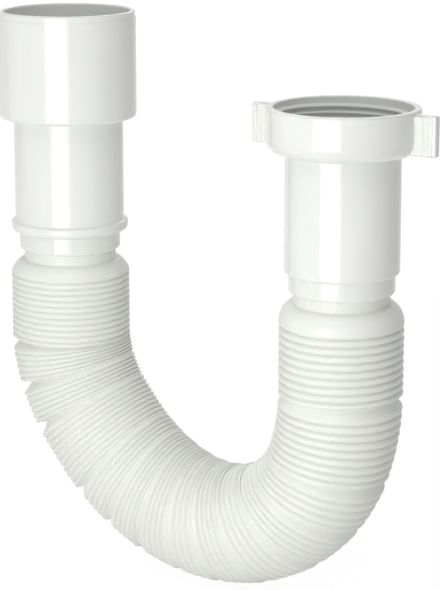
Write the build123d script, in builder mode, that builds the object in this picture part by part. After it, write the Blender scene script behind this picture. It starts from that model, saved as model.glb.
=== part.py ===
from build123d import *
import os
from math import radians

os.makedirs("parts", exist_ok=True)

# Flexible trap: a ribbed hose bent into a U, with a threaded union nut on its inlet tail
# and a stepped spigot on its outlet. Millimetres, +Z up.
# The origin is the centre of the nut's mouth. The hose hangs below it and rises again on the -X side.

# Tubes
tube_radius = 20.0
tube_wall = 2.2

# Union nut, which takes a 1 1/2 inch waste thread
nut_wall = 2.7
nut_height = 16.0
nut_floor = 2.2
nut_running_clearance = 0.3
nut_lower_chamfer = 2.2
nut_rim_chamfer = 0.8
thread_depth = 1.2
lug_reach = 7.9
lug_thickness = 3.6
lug_height = 14.0
lug_corner = 1.2

# Inlet tail and its washer
flange_overhang = 2.3
flange_thickness = 1.6
flange_seat_clearance = 0.2
flange_pocket_clearance = 0.4
inlet_tube_length = 43.9
inlet_tube_edge = 1.2
washer_thickness = 1.8
washer_setback = 0.6
washer_headroom = 0.2

# Socket ring at the foot of each tube
ring_wall = 1.55
ring_height = 6.8
socket_clearance = 0.15

# Outlet spigot
collar_radius = 25.0
collar_height = 39.0
collar_wall = 2.1
collar_edge = 1.2
outlet_tube_length = 38.0
bead_radius = 21.5
bead_height = 3.9
bead_edge = 1.0

# Bellows: bunches of closed ribs with an open fold between each two, listed from inlet to outlet.
# Lengths run along the middle of the hose and turns are in degrees; all the turns make up a half circle.
# The ribs are coarser than the fine folds of the real hose, and an open fold has one depth all round.
crest_radius = 21.8
cuff_radius = 16.8
cuff_wall = 1.6
cuff_insertion = 6.0
neck_length = 3.9
inlet_shoulder = 6.9
outlet_shoulder = 4.6
shoulder_share = 0.3
rib_depth = 1.0
bunch_ribs = [7, 4, 2, 2, 2, 2, 2, 2, 2, 2, 4, 2, 2, 7]
bunch_lengths = [25.0, 22.2, 10.8, 9.6, 10.9, 9.2, 7.6, 8.4, 8.0, 8.5, 19.3, 9.4, 9.3, 24.4]
bunch_turns = [0, 16, 11, 10, 10.5, 8, 5.5, 5, 4, 3.5, 8, 6, 9, 0]
open_fold_turns = [3, 6.5, 7, 7.5, 7.5, 7, 7, 6.5, 6, 6, 6, 6, 7.5]
open_fold_mouth = 6.0
open_fold_depth_at_inlet = 1.8
open_fold_depth_at_outlet = 3.6
steep_flank_share = 0.3

# Radii that fit one another, from the tube outwards
tube_bore = tube_radius - tube_wall
flange_radius = tube_radius + flange_overhang
pocket_radius = flange_radius + flange_pocket_clearance
thread_major_radius = pocket_radius + thread_depth
nut_radius = thread_major_radius + nut_wall
lug_root = nut_wall / 2
cuff_bore = cuff_radius - cuff_wall
socket_radius = cuff_radius + socket_clearance
ring_radius = socket_radius + ring_wall
shoulder_radius = cuff_radius + (crest_radius - cuff_radius) * (1 - (1 - shoulder_share) ** 2) ** 0.5

# Heights on the inlet axis, from the nut's mouth down
nut_floor_top = nut_floor - nut_height
flange_underside = nut_floor_top + flange_seat_clearance
tail_top = flange_underside + flange_thickness
thread_end = tail_top + washer_thickness + washer_headroom
inlet_ring_top = flange_underside - inlet_tube_length
inlet_ring_bottom = inlet_ring_top - ring_height

# Heights on the outlet axis, from the end of the hose's shoulder up
outlet_ring_bottom = neck_length
bead_bottom = outlet_ring_bottom + ring_height
bead_top = bead_bottom + bead_height
collar_bottom = bead_top + outlet_tube_length
collar_top = collar_bottom + collar_height


def advance(section, length, turn):
    """The next section along the hose, bent by turn degrees over this length."""
    return section.rotated((0, turn / 2, 0)).offset(length).rotated((0, turn / 2, 0))


# Bellows sections, walked from the inlet's cuff round to the outlet's
last_open_fold = len(open_fold_turns) - 1

cuff_end = Plane(origin=(0, 0, inlet_ring_bottom + cuff_insertion), x_dir=(0, 1, 0), z_dir=(0, 0, -1))
neck_end = cuff_end.offset(cuff_insertion + neck_length)
outside = [
    (cuff_end, cuff_radius),
    (neck_end, cuff_radius),
    (neck_end.offset(inlet_shoulder * shoulder_share), shoulder_radius),
]
bore = [cuff_end, neck_end]
station = neck_end.offset(inlet_shoulder)
for bunch, ribs in enumerate(bunch_ribs):
    flanks = 2 * (ribs - 1)
    outside.append((station, crest_radius))
    for flank in range(1, flanks + 1):
        station = advance(station, bunch_lengths[bunch] / flanks, bunch_turns[bunch] / flanks)
        outside.append((station, crest_radius - rib_depth * (flank % 2)))
    if bunch <= last_open_fold:
        fold_turn = open_fold_turns[bunch]
        fold_length = open_fold_mouth - crest_radius * radians(fold_turn)
        along = bunch / last_open_fold
        depth = open_fold_depth_at_inlet + (open_fold_depth_at_outlet - open_fold_depth_at_inlet) * along
        root_share = steep_flank_share if along < 0.5 else 1 - steep_flank_share
        root = advance(station, fold_length * root_share, fold_turn * root_share)
        outside.append((root, crest_radius - depth))
        if bunch % 2 == 0:
            bore.append(root)
        station = advance(root, fold_length * (1 - root_share), fold_turn * (1 - root_share))
outlet_neck = station.offset(outlet_shoulder)
outlet_cuff_end = outlet_neck.offset(neck_length + cuff_insertion)
outside += [
    (station.offset(outlet_shoulder * (1 - shoulder_share)), shoulder_radius),
    (outlet_neck, cuff_radius),
    (outlet_cuff_end, cuff_radius),
]
bore += [outlet_neck, outlet_cuff_end]

# The ribbed hose, with a plain cuff at each end
with BuildPart() as bellows:
    for section, radius in outside:
        with BuildSketch(section):
            Circle(radius)
    loft(ruled=True)
    for section in bore:
        with BuildSketch(section):
            Circle(cuff_bore)
    loft(ruled=True, mode=Mode.SUBTRACT)
bellows.part.label = "bellows"
export_step(bellows.part, "parts/bellows.step")

# Inlet tail: a flange for the nut to pull on, a plain tube and a socket ring for the hose's cuff
with BuildPart() as inlet_tail:
    with BuildSketch(Plane.XZ):
        with BuildLine():
            Polyline(
                (tube_bore, tail_top),
                (flange_radius, tail_top),
                (flange_radius, flange_underside),
                (tube_radius, flange_underside),
                (tube_radius, inlet_ring_top + inlet_tube_edge),
                (tube_radius - inlet_tube_edge, inlet_ring_top),
                (ring_radius, inlet_ring_top),
                (ring_radius, inlet_ring_bottom),
                (socket_radius, inlet_ring_bottom),
                (socket_radius, inlet_ring_bottom + cuff_insertion),
                (tube_bore, inlet_ring_bottom + cuff_insertion + tube_wall),
                close=True,
            )
        make_face()
    revolve(axis=Axis.Z)
inlet_tail.part.label = "inlet_tail"
export_step(inlet_tail.part, "parts/inlet_tail.step")

# Flat rubber washer that lies on the tail's flange
with BuildPart() as sealing_washer:
    with BuildSketch(Plane.XY.offset(tail_top)):
        Circle(flange_radius)
        Circle(tube_bore + washer_setback, mode=Mode.SUBTRACT)
    extrude(amount=washer_thickness)
sealing_washer.part.label = "sealing_washer"
export_step(sealing_washer.part, "parts/sealing_washer.step")

# Union nut: a cup with two finger lugs, free to turn on the tail
with BuildPart() as union_nut:
    with BuildSketch(Plane.XY):
        Circle(nut_radius)
    extrude(amount=-nut_height)
    chamfer(union_nut.edges().group_by(Axis.Z)[0], nut_lower_chamfer)
    chamfer(union_nut.edges().group_by(Axis.Z)[-1], nut_rim_chamfer)
    with BuildSketch(Plane.XY):
        Circle(thread_major_radius)
    extrude(amount=thread_end, mode=Mode.SUBTRACT)
    with BuildSketch(Plane.XY):
        Circle(pocket_radius)
    extrude(amount=nut_floor_top, mode=Mode.SUBTRACT)
    with BuildSketch(Plane.XY):
        Circle(tube_radius + nut_running_clearance)
    extrude(amount=-nut_height, mode=Mode.SUBTRACT)
    with BuildSketch(Plane.XY.offset(-nut_rim_chamfer)):
        with PolarLocations(nut_radius + (lug_reach - lug_root) / 2, 2):
            Rectangle(lug_reach + lug_root, lug_thickness)
    extrude(amount=-lug_height)
    lug_ends = union_nut.faces().filter_by(Axis.X)
    fillet(lug_ends.edges().filter_by(Axis.Y), lug_corner)
union_nut.part.label = "union_nut"
export_step(union_nut.part, "parts/union_nut.step")

# Outlet spigot: a socket ring, a bead, a 40 mm tube and a 50 mm collar, on the end of the hose
outlet_axis = Axis(outlet_neck.origin, outlet_neck.z_dir)
across_outlet = outlet_neck.z_dir.cross(Vector(0, -1, 0))
outlet_profile = Plane(origin=outlet_neck.origin, x_dir=across_outlet, z_dir=(0, -1, 0))
with BuildPart() as outlet_spigot:
    with BuildSketch(outlet_profile):
        with BuildLine():
            Polyline(
                (socket_radius, outlet_ring_bottom),
                (ring_radius, outlet_ring_bottom),
                (ring_radius, bead_bottom),
                (bead_radius - bead_edge, bead_bottom),
                (bead_radius, bead_bottom + bead_edge),
                (bead_radius, bead_top - bead_edge),
                (bead_radius - bead_edge, bead_top),
                (tube_radius, bead_top),
                (tube_radius, collar_bottom),
                (collar_radius - collar_edge, collar_bottom),
                (collar_radius, collar_bottom + collar_edge),
                (collar_radius, collar_top),
                (collar_radius - collar_wall, collar_top),
                (collar_radius - collar_wall, collar_bottom + tube_wall),
                (tube_bore, collar_bottom + tube_wall),
                (tube_bore, outlet_ring_bottom + cuff_insertion + tube_wall),
                (socket_radius, outlet_ring_bottom + cuff_insertion),
                close=True,
            )
        make_face()
    revolve(axis=outlet_axis)
outlet_spigot.part.label = "outlet_spigot"
export_step(outlet_spigot.part, "parts/outlet_spigot.step")
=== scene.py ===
from math import cos, pi, radians, sin, sqrt

import bpy
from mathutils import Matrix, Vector


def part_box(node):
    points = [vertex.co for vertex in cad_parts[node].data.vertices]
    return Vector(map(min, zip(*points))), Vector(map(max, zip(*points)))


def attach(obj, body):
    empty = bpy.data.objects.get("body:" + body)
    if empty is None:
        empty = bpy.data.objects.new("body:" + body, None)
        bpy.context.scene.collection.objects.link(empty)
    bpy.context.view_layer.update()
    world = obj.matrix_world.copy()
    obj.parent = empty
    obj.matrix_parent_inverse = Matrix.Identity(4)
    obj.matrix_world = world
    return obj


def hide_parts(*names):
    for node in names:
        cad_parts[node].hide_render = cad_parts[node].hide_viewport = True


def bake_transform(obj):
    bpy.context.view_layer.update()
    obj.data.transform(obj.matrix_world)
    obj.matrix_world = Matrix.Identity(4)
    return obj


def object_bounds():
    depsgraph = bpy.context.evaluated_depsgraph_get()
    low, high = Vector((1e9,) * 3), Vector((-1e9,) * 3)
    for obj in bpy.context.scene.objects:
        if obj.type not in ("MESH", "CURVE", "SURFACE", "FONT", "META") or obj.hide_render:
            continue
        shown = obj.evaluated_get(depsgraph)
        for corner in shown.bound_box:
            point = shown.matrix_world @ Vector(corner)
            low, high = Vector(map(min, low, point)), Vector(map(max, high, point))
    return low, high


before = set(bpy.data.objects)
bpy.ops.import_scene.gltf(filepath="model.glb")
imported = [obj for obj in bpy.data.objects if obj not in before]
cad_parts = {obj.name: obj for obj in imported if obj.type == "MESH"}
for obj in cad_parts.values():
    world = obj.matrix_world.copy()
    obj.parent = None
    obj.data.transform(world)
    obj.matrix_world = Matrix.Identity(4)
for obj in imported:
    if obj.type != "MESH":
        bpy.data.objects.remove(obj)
cad_low, cad_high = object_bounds()

MM = 0.001
merge_distance = 0.001 * MM

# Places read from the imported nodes, in millimetres
tail_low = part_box("inlet_tail")[0] / MM
tail_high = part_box("inlet_tail")[1] / MM
nut_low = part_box("union_nut")[0] / MM
spigot_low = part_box("outlet_spigot")[0] / MM
spigot_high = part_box("outlet_spigot")[1] / MM
outlet_x = (spigot_low.x + spigot_high.x) / 2

# Tubes, rings and sockets
tube_radius = 20.0
tube_bore = 17.8
tube_wall = 2.2
ring_radius = 18.5
ring_height = 6.8
socket_radius = 16.95
cuff_insertion = 6.0

# Union nut
nut_radius = 26.6
nut_hole_radius = 20.3
nut_floor = 2.2
nut_lower_round = 5.2
pocket_radius = 22.7

# Nut's thread, a ridge with a narrow rounded tip
thread_major_radius = 23.9
thread_crest_radius = 22.45
thread_end = -10.0
thread_pitch = 2.309
thread_turns = 2.82
thread_base = 2.05
thread_tip = 0.15
thread_tip_round = 0.2
thread_run_in = 0.15
thread_burial = 0.25
thread_steps_a_turn = 96

# Nut's lugs and their grip ridges
lug_reach = 7.9
lug_thickness = 3.6
lug_top = -0.8
lug_height = 14.0
lug_root_gap = 1.2
lug_edge = 0.7
grip_ridges = 3
ridge_pitch = 1.7
ridge_width = 0.9
ridge_rise = 0.3
ridge_end_gap = 0.6
ridge_edge = 0.25

# Inlet tail and washer
flange_radius = 22.3
flange_thickness = 1.6
washer_thickness = 1.8
washer_hole_radius = 18.4

# Outlet spigot
collar_radius = 25.0
collar_bore = 22.9
collar_height = 39.0
rim_height = 2.4
rim_step = 0.25
bead_radius = 21.5
bead_height = 3.9

# Bellows, from the inlet's neck round to the outlet's, in millimetres along its middle and degrees
crest_radius = 21.8
cuff_radius = 16.8
hose_wall = 0.8
hose_segments = 72
neck_length = 3.9
inlet_shoulder = 6.9
outlet_shoulder = 4.6
outlet_shoulder_slope = 0.7
bunch_folds = [10, 9, 5, 5, 5, 5, 4, 5, 5, 5, 10, 6, 6, 12]
bunch_lengths = [25.0, 22.2, 10.8, 9.6, 10.9, 9.2, 7.6, 8.4, 8.0, 8.5, 19.3, 9.4, 9.3, 24.4]
bunch_turns = [0, 16, 11, 10, 10.5, 8, 5.5, 5, 4, 3.5, 8, 6, 9, 0]
fold_depths = [1.4, 1.4, 1.3, 1.3, 1.3, 1.2, 1.1, 1.0, 0.95, 0.95, 0.9, 0.9, 0.9, 1.0]
open_fold_turns = [3, 6.5, 7, 7.5, 7.5, 7, 7, 6.5, 6, 6, 6, 6, 7.5]
open_fold_depths = [3.0, 2.8, 2.6, 2.4, 2.2, 2.0, 2.0, 2.1, 2.3, 3.0, 4.0, 4.4, 4.4]
open_fold_squeezes = [0.6, 0.7, 0.7, 0.7, 0.7, 0.7, 0.8, 0.8, 0.85, 0.9, 0.9, 0.9, 0.85]
open_fold_mouth = 6.0

# How many degrees the folds lag behind the bend, at places along the hose
fold_lags = [
    (0, 0), (34, 1), (60, 9), (75, 11), (101, 12), (126, 11),
    (138, 8), (161, 4), (184, 1.5), (210, 0), (240, 0),
]

# Profiles, as shares of a length and of a depth; an open fold has a steep flank and a gentle one
closed_fold_profile = [(0.0, 0.0), (0.2, 0.1), (0.36, 0.5), (0.5, 1.0), (0.64, 0.5), (0.8, 0.1)]
open_fold_profile = [
    (0.066, 0.12), (0.165, 0.7), (0.22, 0.96), (0.32, 1.0), (0.52, 0.72), (0.77, 0.28), (0.93, 0.04),
]
shoulder_shares = [0.02, 0.08, 0.18, 0.32, 0.5, 0.75]

# Plastic's sheen and grain
plastic_ior = 1.5
sheen_spread = 0.05
grain_detail = 3
grain_strength = 0.15

# Camera, at the photograph's standing place, for a picture of 440 x 590
camera_place = Vector((283.8, -602.0, 103.5)) * MM
camera_turn = 28.85
camera_pitch = 10.9
camera_focal_pixels = 1986.0
camera_shift = -0.2
sensor_width = 36
picture_height = 590

# Panel lamps, in metres and watts
trap_middle = (-0.055, 0, -0.07)
key_place = (0.015, -0.42, -0.075)
key_size = (0.29, 0.2)
key_power = 0.82
fill_place = (-0.75, -0.35, 0.1)
fill_size = (0.5, 0.6)
fill_power = 0.4
top_place = (0.05, -0.35, 0.55)
top_size = (0.5, 0.5)
top_power = 1.5
rear_place = (-0.45, 0.75, 0.6)
rear_size = (0.6, 0.6)
rear_power = 2.4

# Room and floor
room_light = 0.33
floor_size = 8
floor_grey = 0.9
floor_roughness = 0.9
floor_shadow = 0.12
shadow_reach = 0.3
shadow_end = 0.8


def clear_selection():
    """Nothing selected and no mesh open, so that an operator meets only its own piece."""
    if bpy.context.object and bpy.context.object.mode != "OBJECT":
        bpy.ops.object.mode_set(mode="OBJECT")
    bpy.ops.object.select_all(action="DESELECT")


def rounded_profile(corners, steps=5):
    """The outline through (radius, height, round) corners, each turned over a quarter round."""
    points = []
    for index, (radius, height, size) in enumerate(corners):
        corner = Vector((radius, height))
        if not size:
            points.append(corner)
            continue
        before = Vector(corners[index - 1][:2])
        after = Vector(corners[(index + 1) % len(corners)][:2])
        start = corner + (before - corner).normalized() * size
        end = corner + (after - corner).normalized() * size
        middle = start + end - corner
        for step in range(steps + 1):
            angle = pi / 2 * step / steps
            points.append(middle + (start - middle) * cos(angle) + (end - middle) * sin(angle))
    return points


def draw_outline(name, points, axis_x):
    """A closed outline drawn point by point in the plane of the bend."""
    clear_selection()
    bpy.ops.mesh.primitive_plane_add(size=MM)
    piece = bpy.context.object
    piece.name = name
    bpy.ops.object.mode_set(mode="EDIT")
    bpy.ops.mesh.select_mode(type="VERT")
    bpy.ops.mesh.select_all(action="SELECT")
    bpy.ops.mesh.merge(type="CENTER")
    places = [Vector((axis_x + point.x, 0, point.y)) * MM for point in points]
    bpy.ops.transform.translate(value=places[0])
    for here, there in zip(places, places[1:] + places[:1]):
        bpy.ops.mesh.extrude_vertices_move(TRANSFORM_OT_translate={"value": there - here})
    bpy.ops.mesh.select_all(action="SELECT")
    bpy.ops.mesh.remove_doubles(threshold=merge_distance)
    return piece


def turn_piece(name, corners, axis_x, segments=128):
    """A piece turned on an upright axis from its rounded outline."""
    piece = draw_outline(name, rounded_profile(corners), axis_x)
    bpy.ops.mesh.select_all(action="SELECT")
    bpy.ops.mesh.spin(steps=segments, angle=2 * pi, center=(axis_x * MM, 0, 0), axis=(0, 0, 1))
    bpy.ops.mesh.select_all(action="SELECT")
    bpy.ops.mesh.remove_doubles(threshold=merge_distance)
    bpy.ops.mesh.normals_make_consistent(inside=False)
    bpy.ops.object.mode_set(mode="OBJECT")
    smooth(piece)
    return piece


def smooth(piece, angle=35):
    """Soft shading that keeps the true edges and leaves long walls straight in reflections."""
    clear_selection()
    piece.select_set(True)
    bpy.context.view_layer.objects.active = piece
    bpy.ops.object.shade_smooth_by_angle(angle=radians(angle))
    weigh = piece.modifiers.new("flat_walls", "WEIGHTED_NORMAL")
    weigh.keep_sharp = True
    apply_modifiers(piece)


def apply_modifiers(piece):
    """Every modifier of a piece made part of its mesh."""
    clear_selection()
    piece.select_set(True)
    bpy.context.view_layer.objects.active = piece
    for modifier in list(piece.modifiers):
        bpy.ops.object.modifier_apply(modifier=modifier.name)


def coat(piece, material):
    """One finish over the whole piece."""
    piece.data.materials.clear()
    piece.data.materials.append(material)


def finish_piece(piece, material, body, slot, *nodes):
    """Gives a piece its finish and its body, and hides the nodes it stands for."""
    coat(piece, material)
    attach(piece, body)
    if nodes:
        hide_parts(*nodes)


def make_plastic(name, colour, roughness, grain_scale, grain_depth):
    """Moulded plastic or rubber with a faint uneven sheen."""
    material = bpy.data.materials.new(name)
    material.use_nodes = True
    nodes = material.node_tree.nodes
    links = material.node_tree.links
    shader = nodes["Principled BSDF"]
    shader.inputs["Base Color"].default_value = (*colour, 1)
    shader.inputs["IOR"].default_value = plastic_ior
    place = nodes.new("ShaderNodeTexCoord")
    grain = nodes.new("ShaderNodeTexNoise")
    grain.inputs["Scale"].default_value = grain_scale
    grain.inputs["Detail"].default_value = grain_detail
    links.new(place.outputs["Object"], grain.inputs["Vector"])
    spread = nodes.new("ShaderNodeMapRange")
    spread.inputs["To Min"].default_value = roughness - sheen_spread
    spread.inputs["To Max"].default_value = roughness + sheen_spread
    links.new(grain.outputs["Fac"], spread.inputs["Value"])
    links.new(spread.outputs["Result"], shader.inputs["Roughness"])
    bump = nodes.new("ShaderNodeBump")
    bump.inputs["Strength"].default_value = grain_strength
    bump.inputs["Distance"].default_value = grain_depth
    links.new(grain.outputs["Fac"], bump.inputs["Height"])
    links.new(bump.outputs["Normal"], shader.inputs["Normal"])
    return material


def mould_outlet_spigot(material):
    """Socket ring, bead, 40 mm tube and 50 mm collar in one moulding."""
    ring_bottom = spigot_low.z
    collar_top = spigot_high.z
    bead_bottom = ring_bottom + ring_height
    bead_top = bead_bottom + bead_height
    collar_bottom = collar_top - collar_height
    piece = turn_piece("outlet_moulding", [
        (socket_radius, ring_bottom, 0.2),
        (ring_radius, ring_bottom, 1.0),
        (ring_radius, bead_bottom, 0.5),
        (bead_radius, bead_bottom, 1.7),
        (bead_radius, bead_top, 1.0),
        (tube_radius, bead_top, 0.5),
        (tube_radius, collar_bottom, 0.8),
        (collar_radius, collar_bottom, 1.4),
        (collar_radius, collar_top - rim_height, 0.1),
        (collar_radius - rim_step, collar_top - rim_height, 0.1),
        (collar_radius - rim_step, collar_top, 0.8),
        (collar_bore, collar_top, 0.8),
        (collar_bore, collar_bottom + tube_wall, 1.0),
        (tube_bore, collar_bottom + tube_wall, 1.0),
        (tube_bore, ring_bottom + cuff_insertion + tube_wall, 0),
        (socket_radius, ring_bottom + cuff_insertion, 0),
    ], outlet_x)
    finish_piece(piece, material, "outlet", "rigid_plastic", "outlet_spigot")


def mould_inlet_tail(material):
    """Flange, plain tube and socket ring in one moulding."""
    ring_bottom = tail_low.z
    ring_top = ring_bottom + ring_height
    flange_top = tail_high.z
    piece = turn_piece("inlet_moulding", [
        (tube_bore, flange_top, 0.3),
        (flange_radius, flange_top, 0.4),
        (flange_radius, flange_top - flange_thickness, 0.3),
        (tube_radius, flange_top - flange_thickness, 0.2),
        (tube_radius, ring_top, 1.1),
        (ring_radius, ring_top, 0.35),
        (ring_radius, ring_bottom, 1.0),
        (socket_radius, ring_bottom, 0.2),
        (socket_radius, ring_bottom + cuff_insertion, 0),
        (tube_bore, ring_bottom + cuff_insertion + tube_wall, 0),
    ], 0)
    finish_piece(piece, material, "hose", "rigid_plastic", "inlet_tail")


def cut_washer(material):
    """Flat rubber washer on the tail's flange."""
    bottom = tail_high.z
    piece = turn_piece("washer_ring", [
        (washer_hole_radius, bottom, 0.3),
        (flange_radius, bottom, 0.3),
        (flange_radius, bottom + washer_thickness, 0.4),
        (washer_hole_radius, bottom + washer_thickness, 0.4),
    ], 0)
    finish_piece(piece, material, "hose", "washer_rubber", "sealing_washer")


def rounded_block(low, high, edge):
    """A block between two corners, with its edges rounded."""
    clear_selection()
    bpy.ops.mesh.primitive_cube_add(size=1)
    block = bpy.context.object
    bpy.ops.object.mode_set(mode="EDIT")
    bpy.ops.mesh.select_all(action="SELECT")
    bpy.ops.transform.resize(value=(high - low) * MM)
    bpy.ops.transform.translate(value=(low + high) / 2 * MM)
    bpy.ops.mesh.bevel(offset=edge * MM, segments=4)
    bpy.ops.object.mode_set(mode="OBJECT")
    return block


def weld(piece, addition):
    """Runs an added form into a piece, as one moulding."""
    union = piece.modifiers.new("weld", "BOOLEAN")
    union.operation = "UNION"
    union.object = addition
    apply_modifiers(piece)
    bpy.data.objects.remove(addition)


def mould_lug(side):
    """One finger lug, a rounded block with upright grip ridges, that runs into the nut's wall."""
    root = thread_major_radius + lug_root_gap
    tip = nut_radius + lug_reach
    ends = sorted((side * root, side * tip))
    half = lug_thickness / 2
    bottom = lug_top - lug_height
    lug = rounded_block(Vector((ends[0], -half, bottom)), Vector((ends[1], half, lug_top)), lug_edge)
    for ridge in range(grip_ridges):
        middle = side * (tip - ridge_pitch - ridge_pitch * ridge)
        reach = Vector((ridge_width / 2, half + ridge_rise, 0))
        low = Vector((middle, 0, bottom + ridge_end_gap)) - reach
        high = Vector((middle, 0, lug_top - ridge_end_gap)) + reach
        weld(lug, rounded_block(low, high, ridge_edge))
    return lug


def mould_union_nut(material):
    """The nut's cup with its two lugs, in one moulding."""
    nut_bottom = nut_low.z
    piece = turn_piece("union_moulding", [
        (nut_hole_radius, nut_bottom, 0.5),
        (nut_radius, nut_bottom, nut_lower_round),
        (nut_radius, 0, 0.9),
        (thread_major_radius, 0, 0.5),
        (thread_major_radius, thread_end, 0.2),
        (pocket_radius, thread_end, 0.2),
        (pocket_radius, nut_bottom + nut_floor, 0.2),
        (nut_hole_radius, nut_bottom + nut_floor, 0.3),
    ], 0)
    for side in (-1, 1):
        weld(piece, mould_lug(side))
    smooth(piece)
    finish_piece(piece, material, "nut", "rigid_plastic", "union_nut")


def cut_thread(material):
    """The ridge of the nut's internal thread, run up inside the mouth."""
    buried = thread_major_radius + thread_burial
    rounded = thread_crest_radius + thread_tip_round
    middle = thread_end + thread_run_in + thread_base / 2
    half_base = thread_base / 2
    half_tip = thread_tip / 2
    outline = [
        Vector((buried, middle - half_base)),
        Vector((rounded, middle - half_tip - thread_tip_round)),
        Vector((thread_crest_radius, middle - half_tip)),
        Vector((thread_crest_radius, middle + half_tip)),
        Vector((rounded, middle + half_tip + thread_tip_round)),
        Vector((buried, middle + half_base)),
    ]
    piece = draw_outline("nut_thread", outline, 0)
    bpy.ops.object.mode_set(mode="OBJECT")
    run = piece.modifiers.new("run", "SCREW")
    run.axis = "Z"
    run.angle = 2 * pi * thread_turns
    run.screw_offset = thread_pitch * thread_turns * MM
    run.steps = run.render_steps = int(thread_steps_a_turn * thread_turns)
    run.use_normal_calculate = True
    apply_modifiers(piece)
    bpy.ops.object.mode_set(mode="EDIT")
    bpy.ops.mesh.select_all(action="SELECT")
    bpy.ops.mesh.fill_holes(sides=len(outline))
    bpy.ops.mesh.select_all(action="SELECT")
    bpy.ops.mesh.normals_make_consistent(inside=False)
    bpy.ops.object.mode_set(mode="OBJECT")
    smooth(piece, angle=50)
    finish_piece(piece, material, "nut", "rigid_plastic")


def ramp(table, value):
    """Straight-line reading between the rows of a table."""
    for (a, low), (b, high) in zip(table, table[1:]):
        if value <= b:
            return low + (high - low) * (value - a) / (b - a)
    return table[-1][1]


def open_fold_length(fold):
    """An open fold's length along the middle of the hose, less than its mouth outside the bend."""
    return open_fold_mouth - crest_radius * radians(open_fold_turns[fold])


def hose_runs():
    """The lengths and turns that the middle of the hose makes, one after another."""
    runs = [(inlet_shoulder, 0)]
    for bunch, length in enumerate(bunch_lengths):
        runs.append((length, bunch_turns[bunch]))
        if bunch < len(open_fold_turns):
            runs.append((open_fold_length(bunch), open_fold_turns[bunch]))
    runs.append((outlet_shoulder, 0))
    return runs


def shoulder_drop(share, slope):
    """How far a shoulder lies below the crests: a quarter round, eased by a part of plain slope."""
    quarter_round = 1 - sqrt(1 - (1 - share) ** 2)
    return (crest_radius - cuff_radius) * (quarter_round + slope * (1 - share)) / (1 + slope)


def fold_rings():
    """Every ring of the bellows, as its place along the hose, its drop below the crests
    and the share of that drop squeezed shut on the inside of the bend."""
    cuff_drop = crest_radius - cuff_radius
    rings = [(-neck_length - cuff_insertion, cuff_drop, 0), (0.0, cuff_drop, 0)]
    for share in shoulder_shares:
        rings.append((inlet_shoulder * share, shoulder_drop(share, 0), 0))
    along = inlet_shoulder
    for bunch, folds in enumerate(bunch_folds):
        pitch = bunch_lengths[bunch] / (folds - 1)
        for fold in range(folds - 1):
            for share, depth in closed_fold_profile:
                rings.append((along + pitch * (fold + share), fold_depths[bunch] * depth, 0))
        along += bunch_lengths[bunch]
        rings.append((along, 0, 0))
        if bunch < len(open_fold_turns):
            length = open_fold_length(bunch)
            profile = open_fold_profile
            if bunch >= len(open_fold_turns) / 2:
                profile = [(1 - share, depth) for share, depth in reversed(profile)]
            for share, depth in profile:
                drop = open_fold_depths[bunch] * depth
                rings.append((along + length * share, drop, open_fold_squeezes[bunch]))
            along += length
    for share in reversed(shoulder_shares):
        drop = shoulder_drop(share, outlet_shoulder_slope)
        rings.append((along + outlet_shoulder * (1 - share), drop, 0))
    along += outlet_shoulder
    rings += [(along, cuff_drop, 0), (along + neck_length + cuff_insertion, cuff_drop, 0)]
    return rings


def place_rings():
    """The rings set on the bent middle line, as (centre, lean, radius) in metres and radians."""
    runs = hose_runs()
    placed = []
    for along, drop, squeeze in fold_rings():
        x, z, heading, remaining = 0.0, tail_low.z - neck_length, 0.0, along
        if remaining < 0:
            z -= remaining
            remaining = 0
        for index, (length, turn) in enumerate(runs):
            step = remaining if index == len(runs) - 1 else min(remaining, length)
            swing = radians(turn) * step / length
            chord = step * (sin(swing / 2) / (swing / 2) if swing else 1)
            x -= chord * sin(heading + swing / 2)
            z -= chord * cos(heading + swing / 2)
            heading += swing
            remaining -= step
            if remaining <= 0:
                break
        lag = radians(ramp(fold_lags, max(along, 0)))
        lean = heading - lag
        inset = drop * squeeze / 2
        radius = crest_radius - drop + inset
        centre = Vector((x - inset * cos(lean), 0, z + inset * sin(lean)))
        placed.append((centre * MM, lean, radius * MM))
    return placed


def raise_rings(rings):
    """A stretch of the hose, raised ring after ring from its first circle."""
    clear_selection()
    centre, lean, radius = rings[0]
    bpy.ops.mesh.primitive_circle_add(vertices=hose_segments, radius=radius, fill_type="NOTHING",
                                      location=centre, rotation=(0, lean, 0))
    stretch = bpy.context.object
    bpy.ops.object.transform_apply(location=True, rotation=True, scale=True)
    bpy.ops.object.mode_set(mode="EDIT")
    bpy.ops.mesh.select_all(action="SELECT")
    for next_centre, next_lean, next_radius in rings[1:]:
        bpy.ops.mesh.extrude_edges_move(TRANSFORM_OT_translate={"value": next_centre - centre})
        if next_lean != lean:
            bpy.ops.transform.rotate(value=lean - next_lean, orient_axis="Y",
                                     center_override=next_centre)
        if next_radius != radius:
            bpy.ops.transform.resize(value=(next_radius / radius,) * 3, center_override=next_centre)
        centre, lean, radius = next_centre, next_lean, next_radius
    bpy.ops.object.mode_set(mode="OBJECT")
    return stretch


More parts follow.
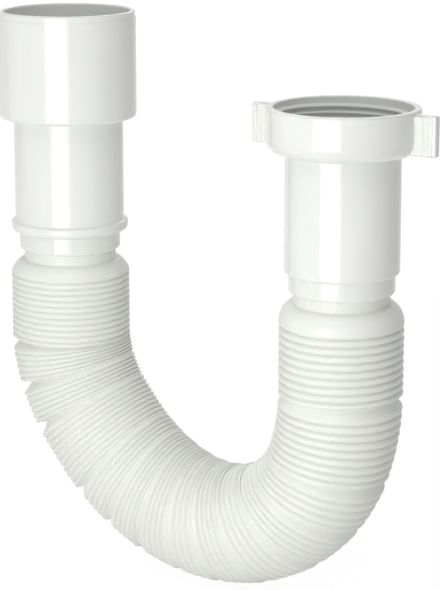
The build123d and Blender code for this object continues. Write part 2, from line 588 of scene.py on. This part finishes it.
def blow_bellows(material):
    """The folded hose: short stretches raised ring by ring, joined, and given their wall."""
    rings = place_rings()
    rings_a_stretch = 40
    starts = range(0, len(rings) - 1, rings_a_stretch)
    stretches = [raise_rings(rings[start:start + rings_a_stretch + 1]) for start in starts]
    clear_selection()
    for stretch in stretches:
        stretch.select_set(True)
    bpy.context.view_layer.objects.active = stretches[0]
    bpy.ops.object.join()
    piece = bpy.context.object
    piece.name = "bellows_hose"
    bpy.ops.object.mode_set(mode="EDIT")
    bpy.ops.mesh.select_all(action="SELECT")
    bpy.ops.mesh.remove_doubles(threshold=5 * merge_distance)
    bpy.ops.mesh.normals_make_consistent(inside=False)
    bpy.ops.object.mode_set(mode="OBJECT")
    wall = piece.modifiers.new("wall", "SOLIDIFY")
    wall.thickness = hose_wall * MM
    wall.offset = -1
    apply_modifiers(piece)
    smooth(piece, angle=80)
    coat(piece, material)
    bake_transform(piece)
    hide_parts("bellows")


def stand_camera():
    """A studio camera at the photograph's viewing angle."""
    bpy.ops.object.camera_add(location=camera_place)
    camera = bpy.context.object
    camera.rotation_euler = (radians(90 - camera_pitch), 0, radians(camera_turn))
    camera.data.sensor_width = sensor_width
    camera.data.lens = camera_focal_pixels / picture_height * sensor_width
    camera.data.shift_y = camera_shift
    camera.data.clip_start = 0.01
    camera.data.clip_end = 50
    bpy.context.scene.camera = camera


def fade_shadow(nodes, links, shadow):
    """The share of white over the floor: less near the trap, for its shadow, and all further off."""
    place = nodes.new("ShaderNodeTexCoord")
    distance = nodes.new("ShaderNodeVectorMath")
    distance.operation = "LENGTH"
    links.new(place.outputs["Object"], distance.inputs[0])
    fade = nodes.new("ShaderNodeMapRange")
    fade.interpolation_type = "SMOOTHSTEP"
    fade.inputs["From Min"].default_value = shadow_reach
    fade.inputs["From Max"].default_value = shadow_end
    fade.inputs["To Min"].default_value = 1 - shadow
    fade.inputs["To Max"].default_value = 1
    links.new(distance.outputs["Value"], fade.inputs["Value"])
    return fade.outputs["Result"]


def show_white(nodes, links, shaded, shadow):
    """White to the eye and in reflections, with a share of shading kept near the trap."""
    path = nodes.new("ShaderNodeLightPath")
    seen = nodes.new("ShaderNodeMath")
    seen.operation = "MAXIMUM"
    links.new(path.outputs["Is Camera Ray"], seen.inputs[0])
    links.new(path.outputs["Is Glossy Ray"], seen.inputs[1])
    through = nodes.new("ShaderNodeMath")
    through.operation = "MAXIMUM"
    links.new(seen.outputs[0], through.inputs[0])
    links.new(path.outputs["Is Transmission Ray"], through.inputs[1])
    share = nodes.new("ShaderNodeMath")
    share.operation = "MULTIPLY"
    share.inputs[1].default_value = 1
    links.new(through.outputs[0], share.inputs[0])
    if shadow:
        links.new(fade_shadow(nodes, links, shadow), share.inputs[1])
    white = nodes.new("ShaderNodeEmission" if shadow else "ShaderNodeBackground")
    white.inputs["Color"].default_value = (1, 1, 1, 1)
    # A little over 1 makes up for what the shaded share lacks of white
    white.inputs["Strength"].default_value = 1 + shadow / 2
    mix = nodes.new("ShaderNodeMixShader")
    links.new(share.outputs[0], mix.inputs[0])
    links.new(shaded.outputs[0], mix.inputs[1])
    links.new(white.outputs[0], mix.inputs[2])
    return mix


def hang_lamp(name, place, aim, size, energy):
    """A soft panel lamp that faces the trap and stays out of the picture."""
    bpy.ops.object.light_add(type="AREA", location=place)
    lamp = bpy.context.object
    lamp.name = name
    lamp.data.shape = "RECTANGLE"
    lamp.data.size, lamp.data.size_y = size
    lamp.data.energy = energy
    lamp.rotation_euler = (Vector(aim) - Vector(place)).to_track_quat("-Z", "Y").to_euler()
    lamp.visible_camera = False


def light_studio():
    """An even pale room, a low panel left of the camera, and weak ones far left, above and behind."""
    world = bpy.data.worlds.new("studio_world")
    world.use_nodes = True
    nodes = world.node_tree.nodes
    room = nodes["Background"]
    room.inputs["Color"].default_value = (1, 1, 1, 1)
    room.inputs["Strength"].default_value = room_light
    mix = show_white(nodes, world.node_tree.links, room, 0)
    world.node_tree.links.new(mix.outputs[0], nodes["World Output"].inputs["Surface"])
    bpy.context.scene.world = world
    straight_ahead = (key_place[0], 0, key_place[2])
    hang_lamp("panel_left_of_camera", key_place, straight_ahead, key_size, key_power)
    hang_lamp("panel_far_left", fill_place, trap_middle, fill_size, fill_power)
    hang_lamp("panel_overhead", top_place, trap_middle, top_size, top_power)
    hang_lamp("panel_behind", rear_place, trap_middle, rear_size, rear_power)


def lay_floor():
    """The pale floor that the bend of the hose stands on."""
    bpy.ops.mesh.primitive_plane_add(size=floor_size, location=(0, 0, cad_low.z))
    floor = bpy.context.object
    floor.name = "floor"
    paint = bpy.data.materials.new("floor_white")
    paint.use_nodes = True
    nodes = paint.node_tree.nodes
    shader = nodes["Principled BSDF"]
    shader.inputs["Base Color"].default_value = (floor_grey, floor_grey, floor_grey, 1)
    shader.inputs["Roughness"].default_value = floor_roughness
    mix = show_white(nodes, paint.node_tree.links, shader, floor_shadow)
    paint.node_tree.links.new(mix.outputs[0], nodes["Material Output"].inputs["Surface"])
    floor.data.materials.append(paint)


gloss_white = make_plastic("gloss_white", colour=(0.82, 0.83, 0.795), roughness=0.13,
                           grain_scale=900, grain_depth=0.00005)
satin_white = make_plastic("satin_white", colour=(0.82, 0.83, 0.79), roughness=0.4,
                           grain_scale=1500, grain_depth=0.00008)
grey_rubber = make_plastic("grey_rubber", colour=(0.3, 0.3, 0.3), roughness=0.7,
                           grain_scale=2500, grain_depth=0.0001)

mould_outlet_spigot(gloss_white)
mould_inlet_tail(gloss_white)
cut_washer(grey_rubber)
mould_union_nut(gloss_white)
cut_thread(gloss_white)
blow_bellows(satin_white)
stand_camera()
light_studio()
lay_floor()

bpy.context.scene.view_settings.view_transform = "Standard"
